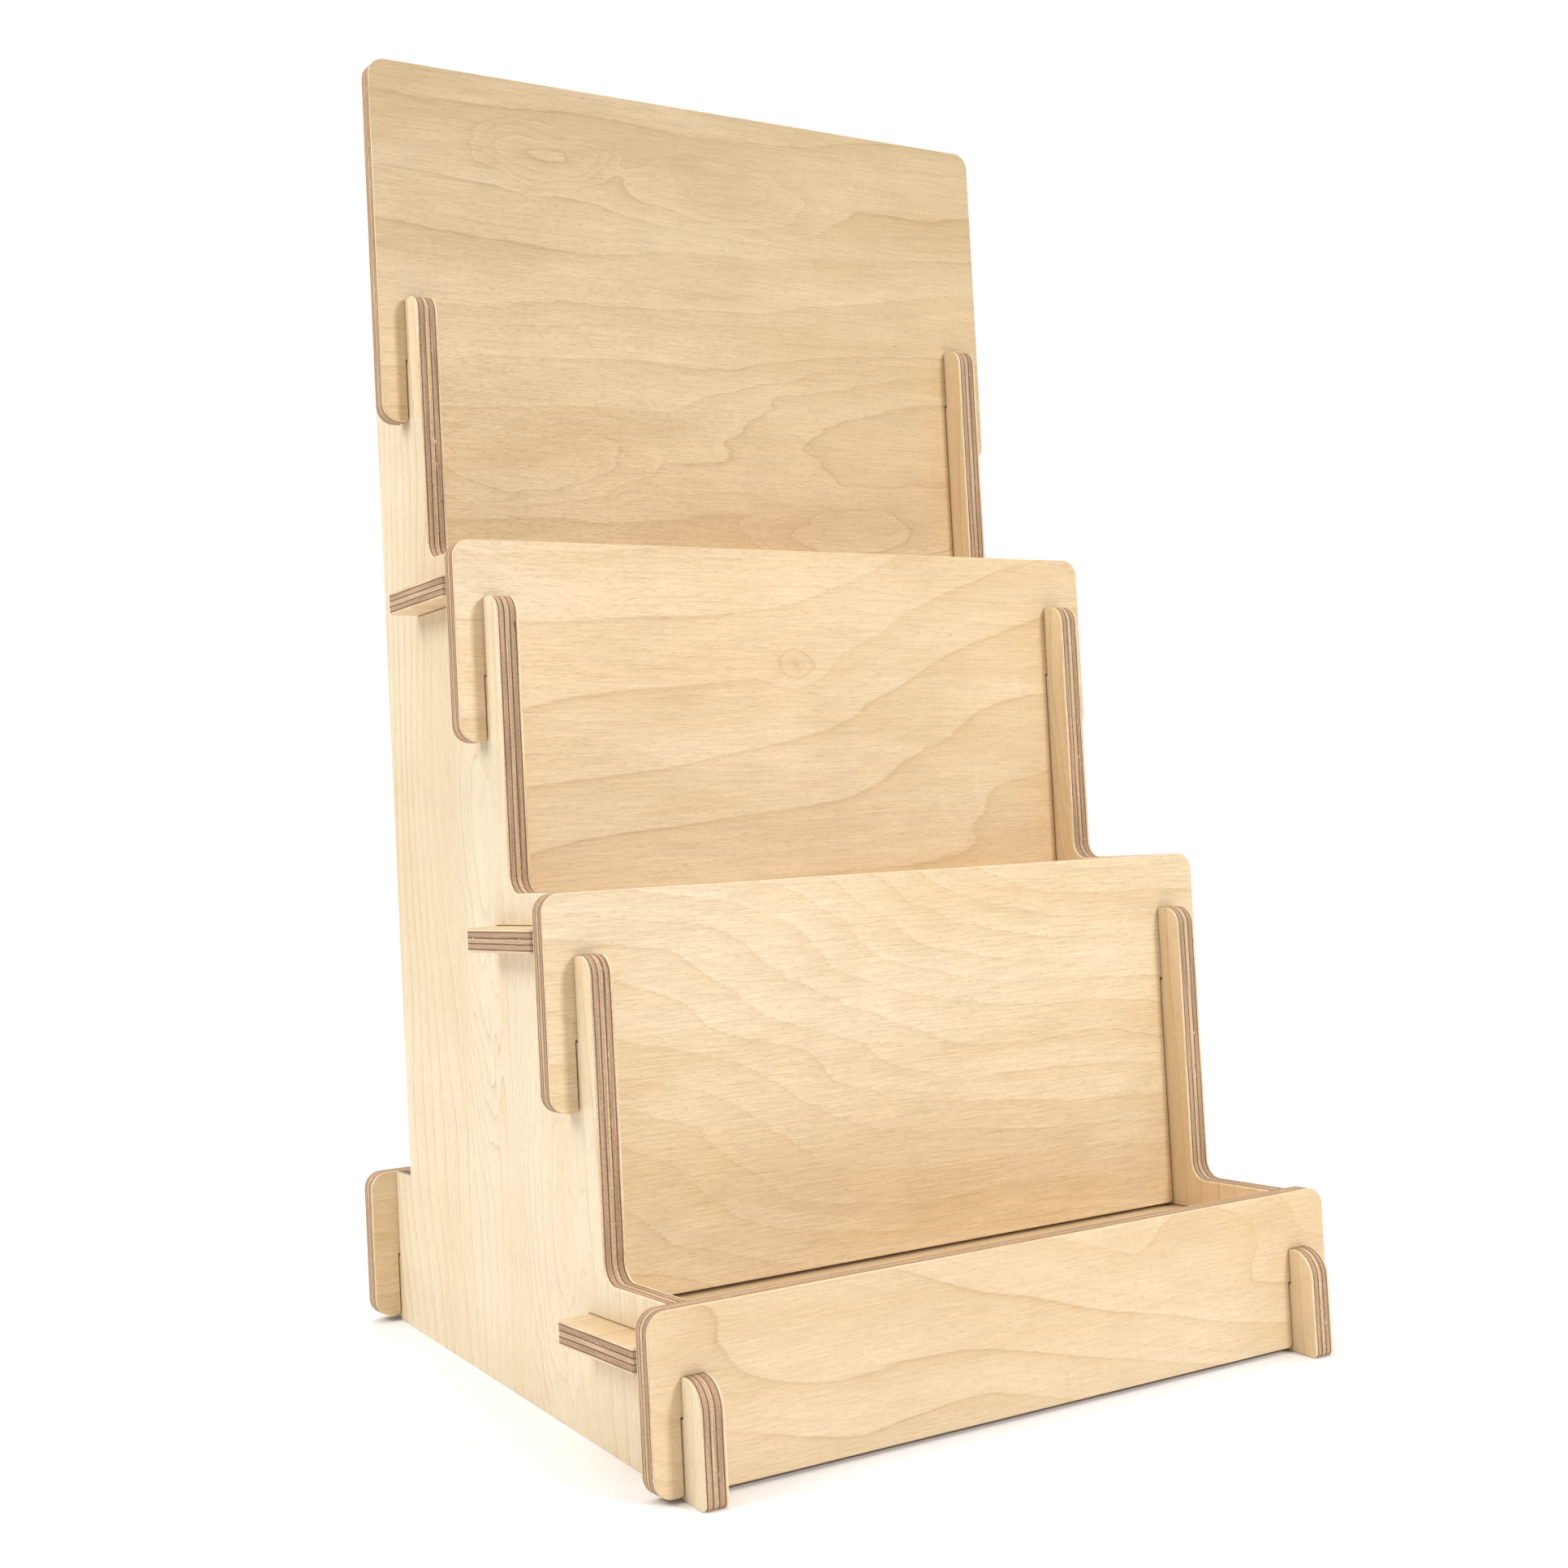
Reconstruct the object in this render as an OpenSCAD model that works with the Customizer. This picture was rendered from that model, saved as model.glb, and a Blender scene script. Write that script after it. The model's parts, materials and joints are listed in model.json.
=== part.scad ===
// Brochure rack: a slot-together, three-tier leaflet stand cut from one thickness of plywood.
// Ten loose boards and no fasteners. Two side panels carry three shelves on through tabs,
// and four upright panels and a rear brace drop into half-lap slots and lock it all.
//
// Every board is drawn in a square frame, x across, u to the back and w up the panels,
// and the whole frame then leans back on the flat-cut feet of the two side panels.

/* [Boards] */
// Thickness of the plywood
ply_t = 8; // [6:0.5:12]
// Clear width between the side panels
inner_w = 225; // [150:1:330]
// How far the panel ears stand out past the side panels
ear_over = 9.5; // [6:0.5:16]
// How far the shelf tabs stand out past the side panels
tab_out = 10; // [6:0.5:16]
// Backward lean of the rack, in degrees
lean = 4; // [2:0.5:8]

/* [Tiers] */
// Clear depth of each pocket, front to back
pocket_d = 51; // [36:1:80]
// Rise from one shelf to the next
tier_rise = 118; // [98:1:160]
// Height of the bottom shelf's top face above the front panel's lower edge
first_shelf_h = 42; // [36:1:60]
// Height of each panel's lip above the shelf behind it
lip_h = 10.5; // [8:0.5:20]
// Height of the header above the top shelf
header_h = 192.5; // [150:0.5:260]

/* [Slots] */
// Height of the slot cut up into each panel's ears
slot_h = 22; // [16:1:26]
// Height of the divider ears, slot included
divider_ear_h = 67.5; // [48:0.5:80]
// Height of the header ears, slot included
header_ear_h = 131; // [90:1:145]
// Gap on each side of a board in its slot
slot_gap = 0.3; // [0.2:0.05:0.6]
// Gap left under a panel where it seats in its slot
seat_gap = 0.2; // [0.1:0.05:0.5]
// Gap all round a shelf tab in its mortise
mortise_gap = 0.15; // [0.1:0.05:0.4]
// Gap between a shelf's front edge and the panel in front of it
shelf_gap = 0.5; // [0.3:0.1:1.5]
// Setback of a shelf tab from the panel in front of it
tab_setback = 1; // [0.5:0.1:3]
// Gap between a panel's lower edge and the shelf under it
sill_gap = 1.1; // [0.5:0.1:3]

/* [Side profile] */
// Depth of the fins that stand in front of the upright panels
fin_d = 11; // [8:0.5:16]
// Height of the two divider fins above the shelf they stand beside
fin_h = 109; // [80:1:114]
// Height of the header fin above the top shelf
header_fin_h = 105.5; // [90:0.5:120]
// Height of the short stub in front of the front panel and behind the rear brace
stub_h = 33.5; // [28:0.5:40]
// Depth of the rear post behind the header
post_d = 26; // [16:1:40]
// How far the rear post stops short of the header's top edge
post_drop = 10; // [8:1:60]
// Depth of the foot between the rear post and the rear brace
foot_d = 15; // [10:1:30]
// Height of the rear brace
brace_h = 52.5; // [44:0.5:60]
// Clearance under the front panel's lower back edge
front_floor_gap = 1; // [0.5:0.1:4]
// Clearance under the rear brace's lower back edge
brace_floor_gap = 1.7; // [0.5:0.1:4]

/* [Rounding] */
// Radius of the outer corners of the panels
corner_r = 6; // [2:0.5:10]
// Radius of the small corners beside the slots
nib_r = 1.5; // [0.5:0.25:3]
// Radius at the top of each fin
fin_r = 6.5; // [3:0.5:7.5]
// Radius at the top of each stub
stub_r = 9; // [4:0.5:10]
// Radius of the hollow where a fin rises from the step
fillet_r = 6.5; // [3:0.5:9]
// Radius of the toe and heel of the side panels
toe_r = 2; // [1:0.25:3]

/* [Hidden] */
$fn = 64;

// Overlap that keeps a cut or a join clean
eps = 0.01;
// Reach of a cut that runs out of the board
reach = 60;

plyColour = [0.88, 0.76, 0.58];
shelfColour = [0.84, 0.70, 0.50];
sideColour = [0.93, 0.84, 0.68];

// Upright panels count from the front: front, lower divider, upper divider, header
last_tier = 3;
tier_pitch = pocket_d + ply_t;
side_in = inner_w / 2;
side_out = side_in + ply_t;
ear_x = side_out + ear_over;
tab_x = side_out + tab_out;
centre_x = side_in - slot_gap;

// Front face of panel i, and the top face of the shelf that stands behind it
function panel_u(i) = i * tier_pitch;
function shelf_w(i) = first_shelf_h + i * tier_rise;

// Top edge of panel i, foot of its ears, and top of the slots in its ears
function panel_top(i) = i == last_tier ? shelf_w(i - 1) + header_h : shelf_w(i) + lip_h;
function ear_h(i) = i == 0 ? panel_top(0) : (i == last_tier ? header_ear_h : divider_ear_h);
function ear_foot(i) = panel_top(i) - ear_h(i);
function slot_top(i) = ear_foot(i) + slot_h;

// Lower edge of panel i between the side panels
function panel_foot(i) = i == 0 ? 0 : shelf_w(i - 1) + sill_gap;

// Top of the fin in front of panel i, and of the side panel behind it
function fin_top(i) = i == 0 ? stub_h : shelf_w(i - 1) + (i == last_tier ? header_fin_h : fin_h);
function step_w(i) = i == last_tier ? panel_top(i) - post_drop : panel_top(i);

// Rear edge of the post, front face of the brace and rear end of the foot
post_back = panel_u(last_tier) + ply_t + post_d;
brace_u = post_back + foot_d;
heel_u = brace_u + ply_t + fin_d;

// Height of the floor line at depth u, in the leaning frame
function floor_w(u) = (u - ply_t) * tan(lean) - front_floor_gap / cos(lean);

brace_foot = floor_w(brace_u + ply_t) + brace_floor_gap / cos(lean);
brace_top = brace_foot + brace_h;
brace_slot_top = brace_foot + slot_h;
prong_top = brace_foot + stub_h;

// Where the toe and heel faces meet the floor, measured along the floor from depth 0
toe_x = -fin_d / cos(lean);
heel_x = heel_u / cos(lean);

// Height that stands the leaning frame on the floor
lift_z = front_floor_gap + ply_t * sin(lean);

// Front and back of the standing rack, which put the origin under its middle
toe_y = -fin_d * cos(lean) + floor_w(-fin_d) * sin(lean) + toe_r * (1 + sin(lean)) / cos(lean) - toe_r;
heel_y = (heel_u - stub_r) * cos(lean) + (prong_top - stub_r) * sin(lean) + stub_r;
post_y = (post_back - corner_r) * cos(lean) + (step_w(last_tier) - corner_r) * sin(lean) + corner_r;
middle_y = (toe_y + max(heel_y, post_y)) / 2;

// ---- Corners ----

// The waste outside a rounded corner: the board lies towards +x and +y
module corner_waste(r) {
    difference() {
        translate([-eps, -eps])
            square(r + eps);
        translate([r, r])
            circle(r);
    }
}

// A corner at [x, y] with the board to the side that sx and sy give
module at_corner(x, y, sx, sy) {
    translate([x, y])
        mirror([sx < 0 ? 1 : 0, 0])
            mirror([0, sy < 0 ? 1 : 0])
                children();
}

module both_sides() {
    children();
    mirror([1, 0])
        children();
}

// ---- The leaning frame ----

module leaning() {
    translate([0, -middle_y, lift_z])
        rotate([-lean, 0, 0])
            children();
}

// A board drawn across the rack, [x, w], with its front face at depth u
module upright_board(u) {
    translate([0, u + ply_t, 0])
        rotate([90, 0, 0])
            linear_extrude(ply_t)
                children();
}

// A board drawn flat, [x, u], with its top face at height w
module flat_board(w) {
    translate([0, 0, w - ply_t])
        linear_extrude(ply_t)
            children();
}

// A board drawn from the side, [u, w], with its left face at x
module side_board(x) {
    translate([x, 0, 0])
        rotate([90, 0, 90])
            linear_extrude(ply_t)
                children();
}

// ---- Upright panels ----

// Outline of a panel whose ears straddle the side panels
module eared_outline(foot, ears, slot, top) {
    difference() {
        union() {
            translate([-ear_x, ears])
                square([2 * ear_x, top - ears]);
            translate([-centre_x, foot])
                square([2 * centre_x, top - foot]);
        }
        both_sides() {
            translate([centre_x, ears - eps])
                square([ply_t + 2 * slot_gap, slot - ears + eps]);
            at_corner(ear_x, top, -1, -1)
                corner_waste(corner_r);
            at_corner(ear_x, ears, -1, 1)
                corner_waste(corner_r);
            at_corner(side_out + slot_gap, ears, 1, 1)
                corner_waste(nib_r);
            at_corner(centre_x, foot, -1, 1)
                corner_waste(nib_r);
        }
    }
}

module tier_panel(i) {
    leaning()
        upright_board(panel_u(i))
            eared_outline(panel_foot(i), ear_foot(i), slot_top(i), panel_top(i));
}

module front_panel() {
    color(plyColour)
        tier_panel(0);
}

module lower_divider() {
    color(plyColour)
        tier_panel(1);
}

module upper_divider() {
    color(plyColour)
        tier_panel(2);
}

module header_panel() {
    color(plyColour)
        tier_panel(last_tier);
}

module rear_brace() {
    color(plyColour)
        leaning()
            upright_board(brace_u)
                eared_outline(brace_foot, brace_foot, brace_slot_top, brace_top);
}

// ---- Shelves ----

// A shelf fills its pocket, runs back under the next panel, and has a long tab at each end
module tier_shelf(i) {
    front_u = panel_u(i) + ply_t;
    leaning()
        flat_board(shelf_w(i)) {
            translate([-centre_x, front_u + shelf_gap])
                square([2 * centre_x, tier_pitch - shelf_gap]);
            translate([-tab_x, front_u + tab_setback])
                square([2 * tab_x, pocket_d]);
        }
}

module bottom_shelf() {
    color(shelfColour)
        tier_shelf(0);
}

module middle_shelf() {
    color(shelfColour)
        tier_shelf(1);
}

module top_shelf() {
    color(shelfColour)
        tier_shelf(2);
}

// ---- Side panels ----

// Stepped board before any cut: a step behind each panel and a fin in front of it
module stepped_outline() {
    for (i = [0 : last_tier]) {
        translate([panel_u(i), -reach])
            square([post_back - panel_u(i), step_w(i) + reach]);
        difference() {
            translate([panel_u(i) - fin_d, -reach])
                square([fin_d + eps, fin_top(i) + reach]);
            at_corner(panel_u(i) - fin_d, fin_top(i), 1, -1)
                corner_waste(i == 0 ? stub_r : fin_r);
        }
    }
    for (i = [1 : last_tier])
        at_corner(panel_u(i) - fin_d, step_w(i - 1), -1, 1)
            corner_waste(fillet_r);
    translate([post_back - eps, -reach])
        square([foot_d + eps, brace_top + reach]);
    translate([brace_u - eps, -reach])
        square([heel_u - brace_u + eps, prong_top + reach]);
}

// Slot for a board that drops in at depth u, down to its seat
module drop_slot(u, seat) {
    translate([u - slot_gap, seat - seat_gap])
        square([ply_t + 2 * slot_gap, panel_top(last_tier)]);
}

// Mortise for the tab of shelf i, which runs forward into the panel slot
module tab_mortise(i) {
    front_u = panel_u(i) + ply_t;
    translate([front_u, shelf_w(i) - ply_t - mortise_gap])
        square([tab_setback + pocket_d + mortise_gap, ply_t + 2 * mortise_gap]);
}

// Waste under the floor line, with the toe and heel rounded off
module floor_waste() {
    translate([0, floor_w(0)])
        rotate(lean) {
            translate([-reach, -2 * reach])
                square([heel_u + 2 * reach, 2 * reach]);
            foot_corner(toe_x, 1);
            foot_corner(heel_x, -1);
        }
}

// Waste of a rounded foot corner: side is 1 at the toe and -1 at the heel.
// Its arc is a hair oversize, so that it crosses the two faces instead of grazing them.
module foot_corner(x, side) {
    centre_s = x + side * toe_r * (1 + side * sin(lean)) / cos(lean);
    far = 2 * toe_r;
    difference() {
        polygon([
            [x - side * toe_r, -eps],
            [centre_s, -eps],
            [centre_s, toe_r],
            [centre_s - side * far * cos(lean), toe_r + side * far * sin(lean)]
        ]);
        translate([centre_s, toe_r])
            circle(toe_r + eps);
    }
}

module side_outline() {
    difference() {
        stepped_outline();
        for (i = [0 : last_tier])
            drop_slot(panel_u(i), slot_top(i));
        for (i = [0 : last_tier - 1])
            tab_mortise(i);
        drop_slot(brace_u, brace_slot_top);
        at_corner(post_back, step_w(last_tier), -1, -1)
            corner_waste(corner_r);
        at_corner(heel_u, prong_top, -1, -1)
            corner_waste(stub_r);
        floor_waste();
    }
}

module side_panel_left() {
    color(sideColour)
        leaning()
            side_board(-side_out)
                side_outline();
}

module side_panel_right() {
    color(sideColour)
        leaning()
            side_board(side_in)
                side_outline();
}

side_panel_left();
side_panel_right();
header_panel();
upper_divider();
lower_divider();
front_panel();
top_shelf();
middle_shelf();
bottom_shelf();
rear_brace();
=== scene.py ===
import json
from math import radians

import bmesh
import bpy
from mathutils import Matrix, Vector

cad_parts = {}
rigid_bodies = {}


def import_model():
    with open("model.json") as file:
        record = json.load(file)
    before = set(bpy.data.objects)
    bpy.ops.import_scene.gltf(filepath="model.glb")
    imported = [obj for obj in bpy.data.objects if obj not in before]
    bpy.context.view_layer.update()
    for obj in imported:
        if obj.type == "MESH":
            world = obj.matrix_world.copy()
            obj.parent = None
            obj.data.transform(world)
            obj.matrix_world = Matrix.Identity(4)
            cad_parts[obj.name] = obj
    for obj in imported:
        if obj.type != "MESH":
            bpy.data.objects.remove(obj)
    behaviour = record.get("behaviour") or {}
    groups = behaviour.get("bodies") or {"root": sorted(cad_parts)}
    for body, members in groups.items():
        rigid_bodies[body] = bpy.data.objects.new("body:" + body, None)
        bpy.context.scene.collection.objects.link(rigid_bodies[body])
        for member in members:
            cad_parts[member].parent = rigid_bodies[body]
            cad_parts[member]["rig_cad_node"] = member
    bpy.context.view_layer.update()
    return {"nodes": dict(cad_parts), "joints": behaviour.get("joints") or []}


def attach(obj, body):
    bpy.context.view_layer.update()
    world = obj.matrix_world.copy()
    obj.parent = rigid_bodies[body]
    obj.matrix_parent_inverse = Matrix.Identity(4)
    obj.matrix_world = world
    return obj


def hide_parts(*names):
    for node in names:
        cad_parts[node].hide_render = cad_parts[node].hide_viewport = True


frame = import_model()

# The boards lean back together: up runs up the panels and back runs through them
across = Vector((1, 0, 0))
up = Vector(frame["joints"][0]["axis"]).normalized()
back = up.cross(across)

# Grain, cross-grain and thickness directions of each kind of board
uprightAxes = (across, up, -back)
sideAxes = (up, -back, across)
shelfAxes = (across, back, up)


# Small helpers for node trees

def newTree(name):
    material = bpy.data.materials.new(name)
    material.use_nodes = True
    tree = material.node_tree
    tree.nodes.clear()
    return material, tree


def feed(tree, socket, value):
    # a socket is linked, anything else is set on it
    if isinstance(value, bpy.types.NodeSocket):
        tree.links.new(value, socket)
    elif value is not None:
        socket.default_value = value


def maths(tree, operation, *values):
    node = tree.nodes.new("ShaderNodeMath")
    node.operation = operation
    for socket, value in zip(node.inputs, values):
        feed(tree, socket, value)
    return node.outputs[0]


def remap(tree, value, low, high, newLow, newHigh, kind="LINEAR"):
    node = tree.nodes.new("ShaderNodeMapRange")
    node.interpolation_type = kind
    feed(tree, node.inputs["Value"], value)
    for name, number in (("From Min", low), ("From Max", high), ("To Min", newLow), ("To Max", newHigh)):
        node.inputs[name].default_value = number
    return node.outputs["Result"]


def mapping(tree, vector, kind="POINT", location=(0, 0, 0), rotation=(0, 0, 0), scale=(1, 1, 1)):
    node = tree.nodes.new("ShaderNodeMapping")
    node.vector_type = kind
    tree.links.new(vector, node.inputs["Vector"])
    node.inputs["Location"].default_value = location
    node.inputs["Rotation"].default_value = rotation
    node.inputs["Scale"].default_value = scale
    return node.outputs["Vector"]


def split(tree, vector):
    node = tree.nodes.new("ShaderNodeSeparateXYZ")
    tree.links.new(vector, node.inputs["Vector"])
    return node.outputs["X"], node.outputs["Y"], node.outputs["Z"]


def noiseNode(tree, place, detail=2.0, roughness=0.5):
    node = tree.nodes.new("ShaderNodeTexNoise")
    tree.links.new(place, node.inputs["Vector"])
    node.inputs["Scale"].default_value = 1.0
    node.inputs["Detail"].default_value = detail
    node.inputs["Roughness"].default_value = roughness
    return node


def noise(tree, vector, scale, seed, detail=2.0, roughness=0.5):
    # scale is in waves per metre along the grain, across it and through the board
    place = mapping(tree, vector, location=(seed * 7.3, seed * 3.1, seed * 5.7), scale=scale)
    return noiseNode(tree, place, detail, roughness).outputs["Fac"]


def wobble(tree, height, value, amount):
    # adds a noise to a height, half of the amount up or down
    return maths(tree, "MULTIPLY_ADD", maths(tree, "SUBTRACT", value, 0.5), amount, height)


def around(tree, value, spread):
    # from 1 - spread to 1 + spread, over the middle part of a noise
    return remap(tree, value, 0.3, 0.7, 1 - spread, 1 + spread)


def ramp(tree, value, stops):
    node = tree.nodes.new("ShaderNodeValToRGB")
    tree.links.new(value, node.inputs["Fac"])
    elements = node.color_ramp.elements
    while len(elements) < len(stops):
        elements.new(0.5)
    for element, (place, colour) in zip(elements, stops):
        element.position = place
        element.color = (*colour, 1) if isinstance(colour, tuple) else (colour, colour, colour, 1)
    return node.outputs["Color"]


def mix(tree, kind, factor, first, second):
    node = tree.nodes.new("ShaderNodeMix")
    node.data_type = "RGBA"
    node.blend_type = kind
    feed(tree, node.inputs["Factor"], factor)
    colours = [socket for socket in node.inputs if socket.type == "RGBA"]
    for socket, value in zip(colours, (first, second)):
        feed(tree, socket, (*value, 1) if isinstance(value, tuple) else value)
    return [socket for socket in node.outputs if socket.type == "RGBA"][0]


def boardPlace(tree, board):
    # Object coordinates turned into the board's own: grain, cross-grain, thickness, from its middle
    coordinates = tree.nodes.new("ShaderNodeTexCoord")
    return mapping(tree, coordinates.outputs["Object"], "TEXTURE", board["centre"], board["turn"])


def surface(tree, colour, roughness, height, depth, shine=0.5):
    bump = tree.nodes.new("ShaderNodeBump")
    bump.inputs["Strength"].default_value = 0.6
    bump.inputs["Distance"].default_value = depth
    feed(tree, bump.inputs["Height"], height)
    shader = tree.nodes.new("ShaderNodeBsdfPrincipled")
    shader.inputs["IOR"].default_value = 1.45
    shader.inputs["Specular IOR Level"].default_value = shine
    feed(tree, shader.inputs["Base Color"], colour)
    feed(tree, shader.inputs["Roughness"], roughness)
    tree.links.new(bump.outputs["Normal"], shader.inputs["Normal"])
    output = tree.nodes.new("ShaderNodeOutputMaterial")
    tree.links.new(shader.outputs["BSDF"], output.inputs["Surface"])


# Waves per metre of each pattern, along the grain, across it and through the board
veneerScales = {
    "bend": (28, 75, 40),
    "feather": (90, 1100, 300),
    "bold": (9, 30, 60),        # where the bold rings are strong
    "fine": (14, 42, 60),       # where the fine rings show
    "cloud": (8, 38, 40),
    "blush": (7, 19, 30),
    # painted sheen: bright and dark bands across the grain
    "paintedSheen": (34, 5, 20),
    "fibre": (60, 1500, 400),
    "pores": (330, 3800, 1500),
}

# The part of each noise over which its pattern comes in
veneerShows = {
    "bold": (0.35, 0.65),
    "fine": (0.42, 0.62),
    "tan": (0.39, 0.73),
    "blush": (0.46, 0.68),
    "pores": (0.57, 0.70),
}

veneerFinish = {
    "faintRing": 0.14,      # what is left of a bold ring where it is weakest
    "ringWarmth": 0.13,     # how much each ring turns tan towards its end
    "paintedShadeReach": 0.08,      # metres from the middle of a board to the end of its painted shade
    "poreDepth": 0.8,       # as a share of the fibres' height
    "roughest": 0.52,
    "smoothest": 0.40,
    "relief": 0.00006,      # bump distance in metres
}

# Swells and knots are pointed ovals: how blunt they are in the middle, and the scale and
# shift that make the middle 0 and the outline 1
oval = {"blunt": 0.09, "scale": 1.344, "shift": -0.403}


def ovalReach(tree, place, x, y, length, width):
    # 0 in the middle of a pointed oval, 1 on its outline
    shape = mapping(tree, place, "TEXTURE", location=(x, y, 0), scale=(length, width, 1))
    alongGrain, acrossGrain, through = split(tree, shape)
    along = maths(tree, "SQRT", maths(tree, "MULTIPLY_ADD", alongGrain, alongGrain, oval["blunt"]))
    beside = maths(tree, "MULTIPLY_ADD", acrossGrain, acrossGrain, oval["shift"])
    return maths(tree, "MULTIPLY_ADD", along, oval["scale"], beside)


def addSwell(tree, place, height, swell):
    # the growth rings close around a swell, as round a knot or in a pointed lobe
    x, y, length, width, rings = swell
    reach = ovalReach(tree, place, x, y, length, width)
    smooth = remap(tree, reach, 0, 1, 1, 0, "SMOOTHSTEP")
    return maths(tree, "MULTIPLY_ADD", smooth, rings, height)


# Darkness of a knot from its heart to its outline
knotTone = [(0.0, 0.9), (0.10, 0.35), (0.45, 0.10), (0.72, 0.30), (0.86, 1.0), (1.0, 0.0)]


def pinKnot(tree, place, line, knot):
    # a small tight knot: a thin dark outline and a dark heart
    x, y, length, width, depth = knot
    reach = ovalReach(tree, place, x, y, length, width)
    return maths(tree, "MAXIMUM", line, maths(tree, "MULTIPLY", ramp(tree, reach, knotTone), depth))


# The farthest that a sway of 1 bends swells and knots along and across the grain, in metres
bending = (0.017, 0.0065)


def swayPlace(tree, place, seed, amount):
    # bends the figure a little, so that no knot or lobe is a true oval
    reach = [part * amount for part in bending]
    start = (seed, seed * 2, seed * 3)
    bend = noiseNode(tree, mapping(tree, place, location=start, scale=veneerScales["bend"]))
    shift = tree.nodes.new("ShaderNodeVectorMath")
    shift.operation = "MULTIPLY_ADD"
    tree.links.new(bend.outputs["Color"], shift.inputs[0])
    shift.inputs[1].default_value = (2 * reach[0], 2 * reach[1], 0)
    tree.links.new(place, shift.inputs[2])
    return mapping(tree, shift.outputs["Vector"], location=(-reach[0], -reach[1], 0))


firstRing = 0.25    # ring count at the middle of a board, before its drift and swells


def ringHeight(tree, place, swayed, figure):
    # growth rings are the level lines of this slow surface
    seed = figure["seed"]
    alongGrain, acrossGrain, through = split(tree, place)
    drift = noise(tree, place, figure["driftScale"], seed, 2.0, 0.45)
    height = wobble(tree, firstRing, drift, figure["drift"])
    height = maths(tree, "MULTIPLY_ADD", acrossGrain, figure["rings"], height)
    height = maths(tree, "MULTIPLY_ADD", alongGrain, figure["slope"], height)
    for swell in figure["swells"]:
        height = addSwell(tree, swayed, height, swell)
    feather = noise(tree, place, veneerScales["feather"], seed + 1, 3.0, 0.6)
    return wobble(tree, height, feather, figure["feather"])


# Darkness across one ring: it grows slowly and stops sharply
boldRing = [(0.0, 0.30), (0.03, 0.0), (0.55, 0.0), (0.87, 0.15), (0.945, 0.42), (0.978, 1.0), (1.0, 0.75)]
fineRing = [(0.0, 0.2), (0.08, 0.0), (0.72, 0.0), (0.93, 1.0), (1.0, 0.8)]


def ringLines(tree, place, swayed, height, figure):
    # bold rings, fine rings between them that show in some places only, and knots
    seed = figure["seed"]
    bold = ramp(tree, maths(tree, "FRACT", height), boldRing)
    strength = noise(tree, place, veneerScales["bold"], seed + 2)
    strength = remap(tree, strength, *veneerShows["bold"], veneerFinish["faintRing"], 1.0)
    line = maths(tree, "MULTIPLY", maths(tree, "MULTIPLY", bold, strength), figure["lineDepth"])
    between = maths(tree, "FRACT", maths(tree, "MULTIPLY", height, figure["fineRings"]))
    patches = noise(tree, place, veneerScales["fine"], seed + 7)
    patches = remap(tree, patches, *veneerShows["fine"], 0.0, figure["fineDepth"])
    fine = maths(tree, "MULTIPLY", ramp(tree, between, fineRing), patches)
    line = maths(tree, "MAXIMUM", line, fine)
    for knot in figure["knots"]:
        line = pinKnot(tree, swayed, line, knot)
    return line


def veneerTone(tree, place, height, figure):
    # slow changes: pale to tan, and a rosy blush
    seed = figure["seed"]
    ring = maths(tree, "FRACT", height)
    cloud = noise(tree, place, veneerScales["cloud"], seed + 3, 4.0, 0.6)
    warm = maths(tree, "MULTIPLY_ADD", ring, veneerFinish["ringWarmth"], cloud)
    warm = remap(tree, warm, *veneerShows["tan"], 0.0, 1.0)
    colour = mix(tree, "MIX", warm, figure["pale"], figure["tan"])
    rosy = noise(tree, place, veneerScales["blush"], seed + 8)
    rosy = remap(tree, rosy, *veneerShows["blush"], 0.0, 1.0)
    return mix(tree, "MULTIPLY", rosy, colour, figure["blush"])


def paintedShadeAcross(tree, place, figure):
    # painted shade: paler towards the lower side of an upright board and darker towards the upper side,
    # as the light falls on it
    alongGrain, acrossGrain, through = split(tree, place)
    reach = veneerFinish["paintedShadeReach"]
    return remap(tree, acrossGrain, -reach, reach, 1 + figure["paintedShade"], 1 - figure["paintedShade"])


def veneerMaterial(board):
    figure = board["figure"]
    seed = figure["seed"]
    material, tree = newTree(board["name"] + "Veneer")
    place = boardPlace(tree, board)
    swayed = swayPlace(tree, place, seed + 9, figure["sway"])
    height = ringHeight(tree, place, swayed, figure)
    line = ringLines(tree, place, swayed, height, figure)
    colour = mix(tree, "MIX", line, veneerTone(tree, place, height, figure), figure["late"])

    # painted sheen: bright and dark bands across the grain, as satin wood catches the light; fibre along
    # it, and pores: short fine ticks
    paintedSheen = around(tree, noise(tree, place, veneerScales["paintedSheen"], seed + 4, 1.0), figure["paintedSheen"])
    fibre = noise(tree, place, veneerScales["fibre"], seed + 5, 4.0, 0.75)
    shade = maths(tree, "MULTIPLY", paintedSheen, around(tree, fibre, figure["fibre"]))
    colour = mix(tree, "MULTIPLY", 1.0, colour, shade)
    colour = mix(tree, "MULTIPLY", 1.0, colour, paintedShadeAcross(tree, place, figure))
    pore = noise(tree, place, veneerScales["pores"], seed + 6, 1.0)
    pore = remap(tree, pore, *veneerShows["pores"], 0.0, 1.0)
    colour = mix(tree, "MIX", maths(tree, "MULTIPLY", pore, figure["pores"]), colour, figure["late"])

    relief = maths(tree, "SUBTRACT", fibre, maths(tree, "MULTIPLY", pore, veneerFinish["poreDepth"]))
    gloss = remap(tree, relief, 0.2, 0.8, veneerFinish["roughest"], veneerFinish["smoothest"])
    surface(tree, colour, gloss, relief, veneerFinish["relief"])
    return material


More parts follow.
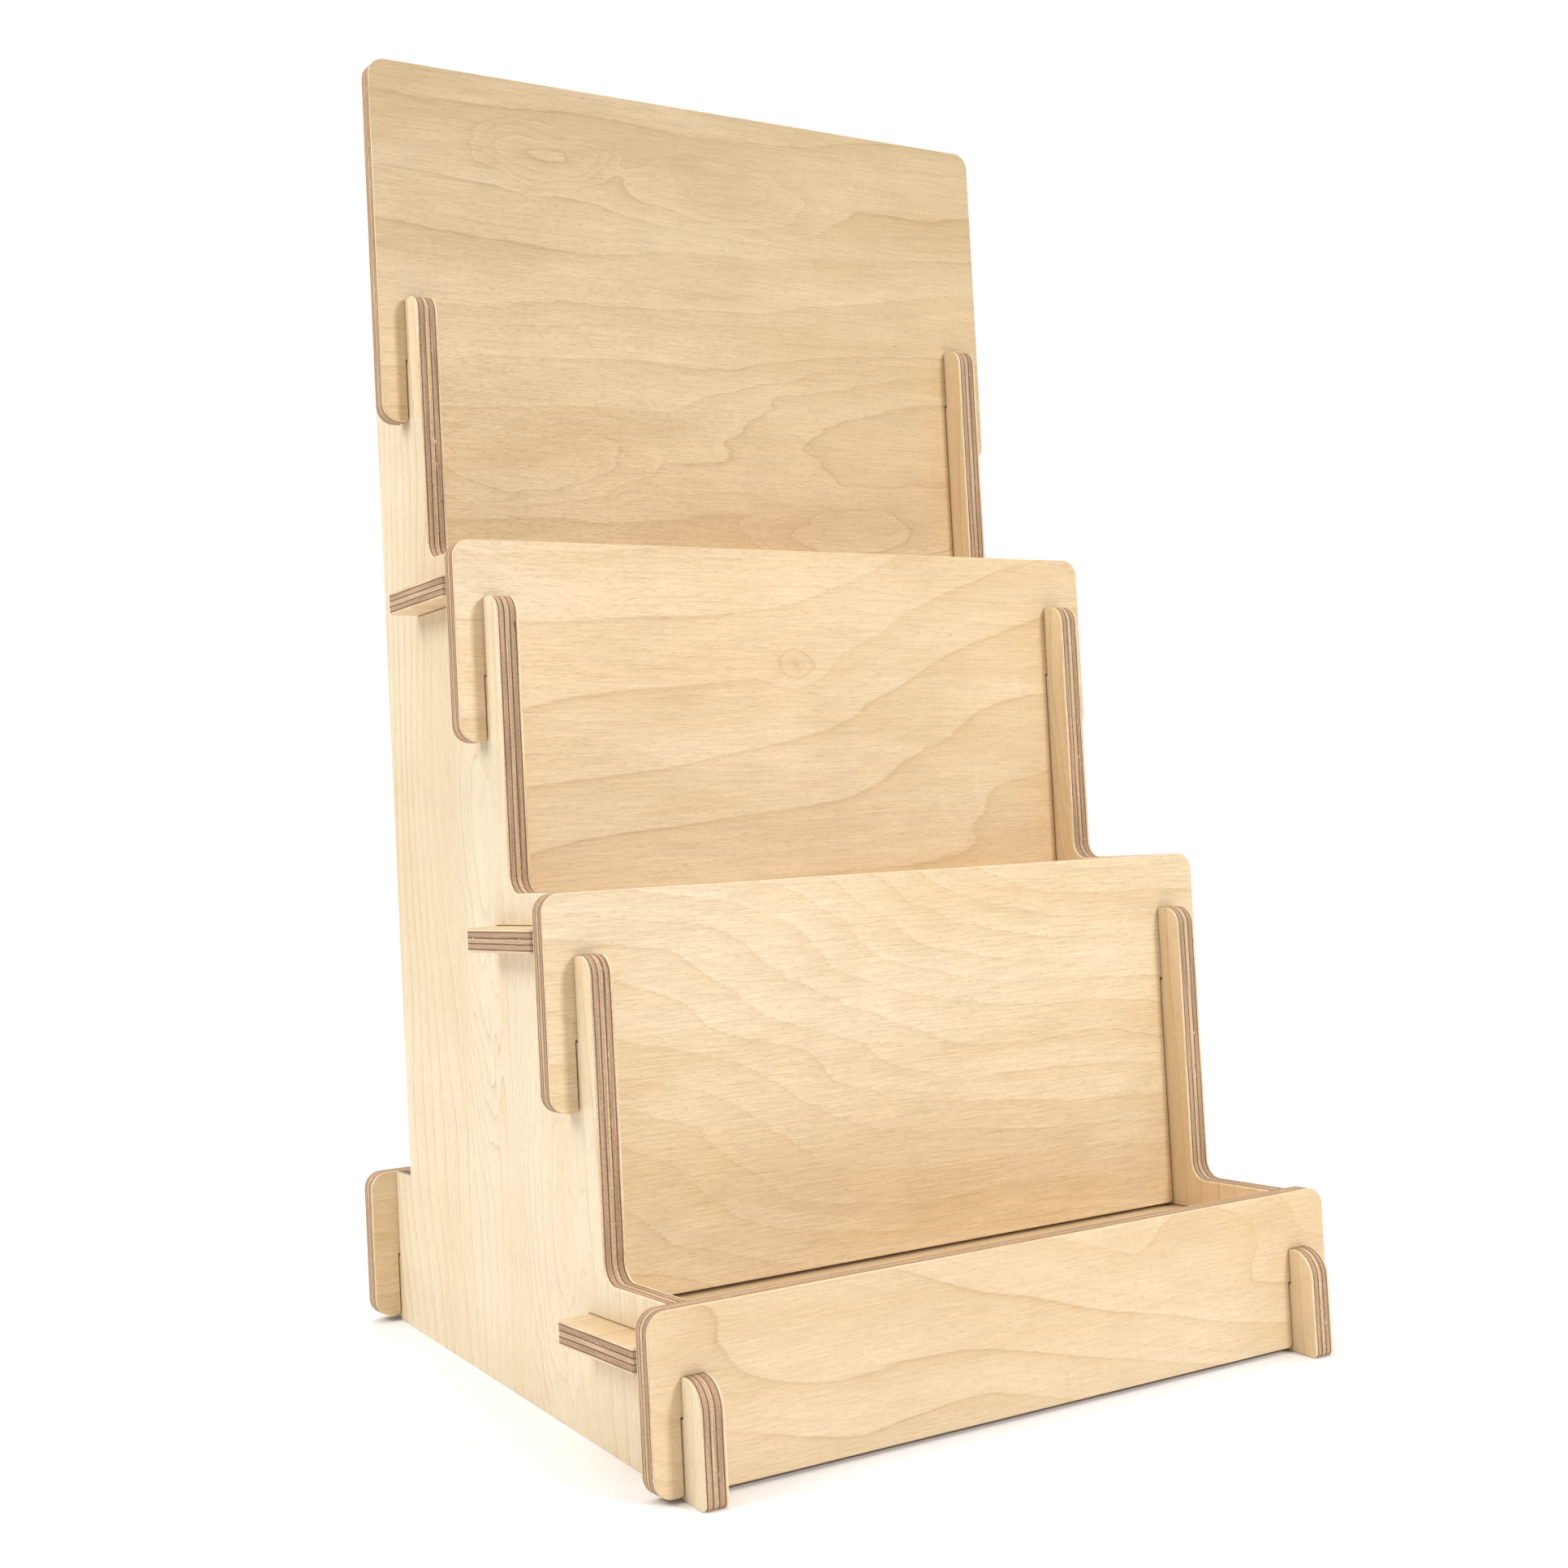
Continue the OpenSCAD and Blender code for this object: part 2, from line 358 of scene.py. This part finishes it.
# The plies from one face to the other: share of the thickness, and colour
plies = {
    "layers": [
        (0.130, (0.76, 0.58, 0.37)),
        (0.240, (0.48, 0.31, 0.195)),
        (0.230, (0.585, 0.41, 0.255)),
        (0.250, (0.45, 0.285, 0.175)),
        (0.150, (0.76, 0.58, 0.37)),
    ],
    "glue": (0.07, 0.033, 0.015),
    "glueWidth": 0.042,     # how far glue darkens each ply beside it, as a share of the thickness
    "streaks": 0.40,
    "specks": 0.16,
    "wander": 0.022,        # how far the glue lines wander, as a share of the thickness
    "chips": (0.74, 0.58, 0.40),
    "chipBand": [(0.54, 0.0), (0.58, 1.0), (0.66, 1.0), (0.70, 0.0)],
    "chipShows": (0.645, 0.68),     # higher numbers make chips and hollows rarer
    # painted shade: near black inside the small hollows of the ply edge
    "hollowShade": (0.10, 0.06, 0.04),
    "hollowShows": (0.74, 0.77),
    "damage": 0.8,          # how strongly chips and hollows cover the ply
    "roughest": 0.85,
    "smoothest": 0.65,
    "relief": 0.00015,      # bump distance in metres
    "shine": 0.2,
    # waves per metre, as for the veneer
    "wanderScale": (38, 38, 220),
    "streakScale": (30, 30, 2600),
    "speckScale": (1500, 1500, 1700),
    "chipScale": (260, 260, 900),
    "hollowScale": (160, 160, 700),
}


def plyStops():
    stops = []
    edge = 0.0
    for share, colour in plies["layers"]:
        if edge > 0:
            stops.append((edge, plies["glue"]))
            stops.append((edge + plies["glueWidth"], colour))
        else:
            stops.append((0.0, colour))
        edge += share
        if edge < 0.99:
            stops.append((edge - plies["glueWidth"], colour))
    stops.append((1.0, plies["layers"][-1][1]))
    return stops


def plyDepth(tree, place, seed, thickness):
    # 0 on one face of the board and 1 on the other, wandering a little
    alongGrain, acrossGrain, through = split(tree, place)
    depth = maths(tree, "MULTIPLY_ADD", through, 1 / thickness, 0.5)
    wander = noise(tree, place, plies["wanderScale"], seed, 3.0, 0.6)
    return wobble(tree, depth, wander, plies["wander"])


def edgeMaterial(board):
    seed = board["figure"]["seed"] + 20
    material, tree = newTree(board["name"] + "Edge")
    place = boardPlace(tree, board)
    depth = plyDepth(tree, place, seed, board["thickness"])
    streak = noise(tree, place, plies["streakScale"], seed + 1, 3.0, 0.7)
    speck = around(tree, noise(tree, place, plies["speckScale"], seed + 2), plies["specks"])
    shade = maths(tree, "MULTIPLY", around(tree, streak, plies["streaks"]), speck)
    colour = mix(tree, "MULTIPLY", 1.0, ramp(tree, depth, plyStops()), shade)

    # pale torn chips along one glue line, and a few small hollows darkened near black with painted shade
    torn = noise(tree, place, plies["chipScale"], seed + 4, 3.0, 0.6)
    torn = remap(tree, torn, *plies["chipShows"], 0.0, plies["damage"])
    chipped = maths(tree, "MULTIPLY", ramp(tree, depth, plies["chipBand"]), torn)
    colour = mix(tree, "MIX", chipped, colour, plies["chips"])
    hollow = noise(tree, place, plies["hollowScale"], seed + 3)
    hollow = remap(tree, hollow, *plies["hollowShows"], 0.0, plies["damage"])
    colour = mix(tree, "MIX", hollow, colour, plies["hollowShade"])

    relief = maths(tree, "SUBTRACT", streak, hollow)
    gloss = remap(tree, streak, 0.3, 0.7, plies["roughest"], plies["smoothest"])
    surface(tree, colour, gloss, relief, plies["relief"], plies["shine"])
    return material


# The arrises of every board are eased a little, as fine paper does
easing = {
    "width": 0.00045,
    "steps": 3,
    "broad": 0.99,          # a face that looks this straight along the thickness is a broad one
    "wrap": 0.3,            # the veneer covers the arris down to faces that look this way
}

copying = {
    "merge": 0.000001,      # metres
    "flatAngle": 0.3,       # degrees
    "smoothAngle": 40,
}


def measureBoard(board):
    # middle and thickness of the board along its own axes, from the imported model
    mesh = frame["nodes"][board["node"]].data
    rows = [[vertex.co.dot(axis) for axis in board["axes"]] for vertex in mesh.vertices]
    low = [min(column) for column in zip(*rows)]
    high = [max(column) for column in zip(*rows)]
    middle = [(a + b) / 2 for a, b in zip(low, high)]
    board["centre"] = sum((axis * part for axis, part in zip(board["axes"], middle)), Vector())
    board["thickness"] = high[2] - low[2]
    board["turn"] = Matrix(board["axes"]).transposed().to_euler()


def copyBoard(board):
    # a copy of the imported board, with its points merged and its triangles joined into flat faces
    bpy.ops.object.select_all(action="DESELECT")
    source = frame["nodes"][board["node"]]
    source.select_set(True)
    bpy.context.view_layer.objects.active = source
    bpy.ops.object.duplicate()
    piece = bpy.context.active_object
    piece.name = piece.data.name = board["name"]
    del piece["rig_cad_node"]
    bpy.ops.object.mode_set(mode="EDIT")
    bpy.ops.mesh.select_all(action="SELECT")
    bpy.ops.mesh.remove_doubles(threshold=copying["merge"])
    bpy.ops.mesh.dissolve_limited(angle_limit=radians(copying["flatAngle"]))
    bpy.ops.mesh.select_all(action="DESELECT")
    bpy.ops.object.mode_set(mode="OBJECT")
    return piece


def facing(face, board):
    # 1 on a broad face, 0 on a cut edge
    return abs(face.normal.dot(board["axes"][2]))


def easeArrises(piece, board):
    bpy.ops.object.mode_set(mode="EDIT")
    bpy.ops.mesh.select_mode(type="EDGE")
    mesh = bmesh.from_edit_mesh(piece.data)
    for edge in mesh.edges:
        broadFaces = [face for face in edge.link_faces if facing(face, board) > easing["broad"]]
        edge.select_set(len(broadFaces) == 1)
    bmesh.update_edit_mesh(piece.data)
    bpy.ops.mesh.bevel(
        offset=easing["width"], segments=easing["steps"], profile=0.5, affect="EDGES", clamp_overlap=False
    )
    bpy.ops.mesh.select_all(action="DESELECT")
    bpy.ops.object.mode_set(mode="OBJECT")


def smoothBoard(piece):
    bpy.ops.object.shade_smooth_by_angle(angle=radians(copying["smoothAngle"]))
    weighted = piece.modifiers.new("weighted", "WEIGHTED_NORMAL")
    weighted.keep_sharp = True
    bpy.ops.object.modifier_apply(modifier=weighted.name)


def coatBoard(piece, board):
    piece.data.materials.clear()
    piece.data.materials.append(veneerMaterial(board))
    piece.data.materials.append(edgeMaterial(board))
    for face in piece.data.polygons:
        face.material_index = 0 if facing(face, board) > easing["wrap"] else 1


def makeBoard(board):
    measureBoard(board)
    piece = copyBoard(board)
    easeArrises(piece, board)
    smoothBoard(piece)
    coatBoard(piece, board)
    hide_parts(board["node"])
    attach(piece, board["body"])
    print("made", piece.name, len(piece.data.polygons), "faces")


# Figure of a plain board; each board changes what it needs.
# A swell is x, y, half length and half width in metres, from the board's middle, and its rings.
# A knot is the same, with its darkness in place of the rings.
plainFigure = {
    "seed": 1.0,
    "rings": 48.0,          # rings per metre across the grain
    "slope": 2.0,           # rings per metre along it
    "drift": 4.0,           # how far the rings wander, in rings
    "driftScale": (5, 16, 25),
    "swells": [],
    "knots": [],
    "sway": 1.0,            # how bent the swells and knots are
    "blush": (1.0, 0.955, 0.90),    # what a rosy patch keeps of the colour
    "feather": 0.12,        # how jagged the lines are, in rings
    "lineDepth": 0.42,
    "fineRings": 3.0,
    "fineDepth": 0.12,
    "pale": (0.80, 0.63, 0.412),
    "tan": (0.72, 0.53, 0.305),
    "late": (0.50, 0.31, 0.14),
    # painted sheen: how strongly the bands lighten and darken the veneer
    "paintedSheen": 0.025,
    "fibre": 0.11,
    "paintedShade": 0.0,            # painted shade: how much paler the lower side is, and darker the upper one
    "pores": 0.36,
}

headerPanel = {
    "name": "headerPanel", "node": "header_panel", "body": "header", "slot": "panel_ply",
    "axes": uprightAxes,
    "figure": {
        **plainFigure,
        "seed": 1.7,
        "pale": (0.715, 0.545, 0.328),
        "tan": (0.63, 0.452, 0.246),
        "late": (0.43, 0.27, 0.125),
        "rings": 46.0,
        "slope": -3.0,
        "drift": 2.6,
        # painted shade: the header's upper side darker and its lower side paler
        "paintedShade": 0.065,
        "lineDepth": 0.54,
        "fineDepth": 0.18,
        "swells": [
            (-0.066, 0.068, 0.040, 0.016, 3.6),
            (0.012, 0.060, 0.066, 0.020, 1.7),
            (0.100, -0.024, 0.130, 0.034, -2.6),
            (-0.080, -0.050, 0.070, 0.020, 1.8),
            (0.065, -0.070, 0.060, 0.016, 1.5),
        ],
    },
}

upperDivider = {
    "name": "upperDivider", "node": "upper_divider", "body": "upper", "slot": "panel_ply",
    "axes": uprightAxes,
    "figure": {
        **plainFigure,
        "seed": 4.3,
        "rings": 38.0,
        "slope": -3.0,
        "drift": 1.5,
        "sway": 0.4,
        "feather": 0.06,
        "fineDepth": 0.09,
        "swells": [(0.0, 0.022, 0.022, 0.014, 0.5), (0.150, 0.020, 0.170, 0.110, -1.4)],
        "knots": [(0.0, 0.022, 0.009, 0.006, 0.42)],
    },
}

lowerDivider = {
    "name": "lowerDivider", "node": "lower_divider", "body": "lower", "slot": "panel_ply",
    "axes": uprightAxes,
    "figure": {
        **plainFigure,
        "seed": 7.9,
        "pale": (0.805, 0.65, 0.44),
        "tan": (0.73, 0.55, 0.325),
        "rings": 100.0,
        "slope": 13.0,
        "drift": 3.2,
        "driftScale": (7, 20, 25),
        "feather": 0.26,
        "lineDepth": 0.34,
        "fineDepth": 0.07,
        "fibre": 0.145,
        "swells": [(-0.15, 0.06, 0.22, 0.15, -3.0)],
    },
}

frontPanel = {
    "name": "frontPanel", "node": "front_panel", "body": "front", "slot": "panel_ply",
    "axes": uprightAxes,
    "figure": {
        **plainFigure,
        "seed": 11.2,
        "pale": (0.765, 0.60, 0.40),
        "tan": (0.69, 0.505, 0.295),
        "rings": 62.0,
        "slope": 16.0,
        "drift": 1.8,
        "sway": 0.35,
        "feather": 0.07,
        "lineDepth": 0.50,
        "swells": [(-0.10, -0.02, 0.09, 0.05, 1.2), (0.085, 0.030, 0.050, 0.034, -1.1)],
    },
}

rearBrace = {
    "name": "rearBrace", "node": "rear_brace", "body": "brace", "slot": "panel_ply",
    "axes": uprightAxes,
    "figure": {**plainFigure, "seed": 13.4, "rings": 60.0},
}

sideFigure = {
    **plainFigure,
    "rings": 130.0,
    "slope": 1.5,
    "drift": 6.0,
    "driftScale": (5.5, 13, 20),
    "pale": (0.83, 0.72, 0.52),
    "tan": (0.79, 0.635, 0.42),
    "late": (0.55, 0.35, 0.18),
    "blush": (1.0, 0.975, 0.94),
    "lineDepth": 0.72,
    "fineDepth": 0.13,
    "fibre": 0.04,
}

leftSide = {
    "name": "leftSide", "node": "side_panel_left", "body": "rack", "slot": "side_ply",
    "axes": sideAxes,
    "figure": {
        **sideFigure,
        "seed": 17.1,
        "swells": [(-0.045, -0.02, 0.13, 0.026, 6.0), (-0.16, 0.03, 0.10, 0.03, 4.0)],
    },
}

rightSide = {
    "name": "rightSide", "node": "side_panel_right", "body": "rack", "slot": "side_ply",
    "axes": sideAxes,
    "figure": {
        **sideFigure,
        "seed": 23.6,
        "pale": (0.82, 0.66, 0.43),
        "tan": (0.77, 0.58, 0.35),
        "swells": [(0.03, 0.01, 0.12, 0.02, 2.4)],
    },
}

topShelf = {
    "name": "topShelf", "node": "top_shelf", "body": "rack", "slot": "shelf_ply",
    "axes": shelfAxes,
    "figure": {**plainFigure, "seed": 29.8, "rings": 70.0},
}

middleShelf = {
    "name": "middleShelf", "node": "middle_shelf", "body": "rack", "slot": "shelf_ply",
    "axes": shelfAxes,
    "figure": {**plainFigure, "seed": 31.5, "rings": 55.0},
}

bottomShelf = {
    "name": "bottomShelf", "node": "bottom_shelf", "body": "rack", "slot": "shelf_ply",
    "axes": shelfAxes,
    "figure": {**plainFigure, "seed": 37.2, "rings": 62.0},
}

boards = [
    leftSide, rightSide, bottomShelf, middleShelf, topShelf,
    frontPanel, lowerDivider, upperDivider, headerPanel, rearBrace,
]
for board in boards:
    makeBoard(board)


# Floor, lamps, backdrop and camera
studio = {
    "paper": (0.93, 0.93, 0.935),
    "floorSize": 1.7,
    "ambient": 0.42,
    "lamps": [
        # name, place, aimed at, size, power
        ("keySoftbox", (0.32, -1.10, 0.62), (0, 0, 0.2), 0.20, 7.5),
        ("leftSoftbox", (-1.02, 0.16, 0.95), (0, 0, 0.32), 0.6, 8.6),
        ("topSoftbox", (0.35, 0.90, 2.3), (0.35, 0.90, 0), 3.0, 56.0),
    ],
}


def makeFloor():
    bpy.ops.object.select_all(action="DESELECT")
    bpy.ops.mesh.primitive_plane_add(size=studio["floorSize"], location=(0, 0, 0))
    floor = bpy.context.active_object
    floor.name = "paperFloor"
    material, tree = newTree("studioPaper")
    coordinates = tree.nodes.new("ShaderNodeTexCoord")
    tooth = noise(tree, coordinates.outputs["Object"], (300, 300, 300), 2.0)
    tone = remap(tree, tooth, 0.3, 0.7, 0.99, 1.01)
    surface(tree, mix(tree, "MULTIPLY", 1.0, studio["paper"], tone), 0.8, tooth, 0.0001)
    floor.data.materials.append(material)


def makeLamps():
    for name, place, target, size, power in studio["lamps"]:
        bpy.ops.object.light_add(type="AREA", location=place)
        lamp = bpy.context.active_object
        lamp.name = name
        lamp.data.shape = "SQUARE"
        lamp.data.size = size
        lamp.data.energy = power
        lamp.rotation_euler = (Vector(target) - Vector(place)).to_track_quat("-Z", "Y").to_euler()


def makeSky():
    world = bpy.data.worlds.new("studioWhite")
    bpy.context.scene.world = world
    world.use_nodes = True
    tree = world.node_tree
    background = tree.nodes["Background"]
    background.inputs["Color"].default_value = (1, 1, 1, 1)
    # the camera sees the backdrop pure white, but it lights the rack with less than that
    path = tree.nodes.new("ShaderNodeLightPath")
    strength = remap(tree, path.outputs["Is Camera Ray"], 0, 1, studio["ambient"], 1.0)
    tree.links.new(strength, background.inputs["Strength"])


cameraSettings = {
    "place": (-0.39021, -0.64800, 0.21931),
    "turn": (89.0015, 0.8971, -34.3282),
    "lens": 48.489,
    "shift": (-0.10244, -0.01868),
    "sensor": 36,
    "clipStart": 0.01,
}


def makeCamera():
    bpy.ops.object.camera_add(location=cameraSettings["place"])
    camera = bpy.context.active_object
    camera.name = "rackCamera"
    camera.rotation_euler = [radians(angle) for angle in cameraSettings["turn"]]
    camera.data.sensor_width = cameraSettings["sensor"]
    camera.data.lens = cameraSettings["lens"]
    camera.data.shift_x, camera.data.shift_y = cameraSettings["shift"]
    camera.data.clip_start = cameraSettings["clipStart"]
    bpy.context.scene.camera = camera


makeFloor()
makeLamps()
makeSky()
makeCamera()
bpy.context.scene.view_settings.view_transform = "Standard"
print("studio, camera and lamps are up")
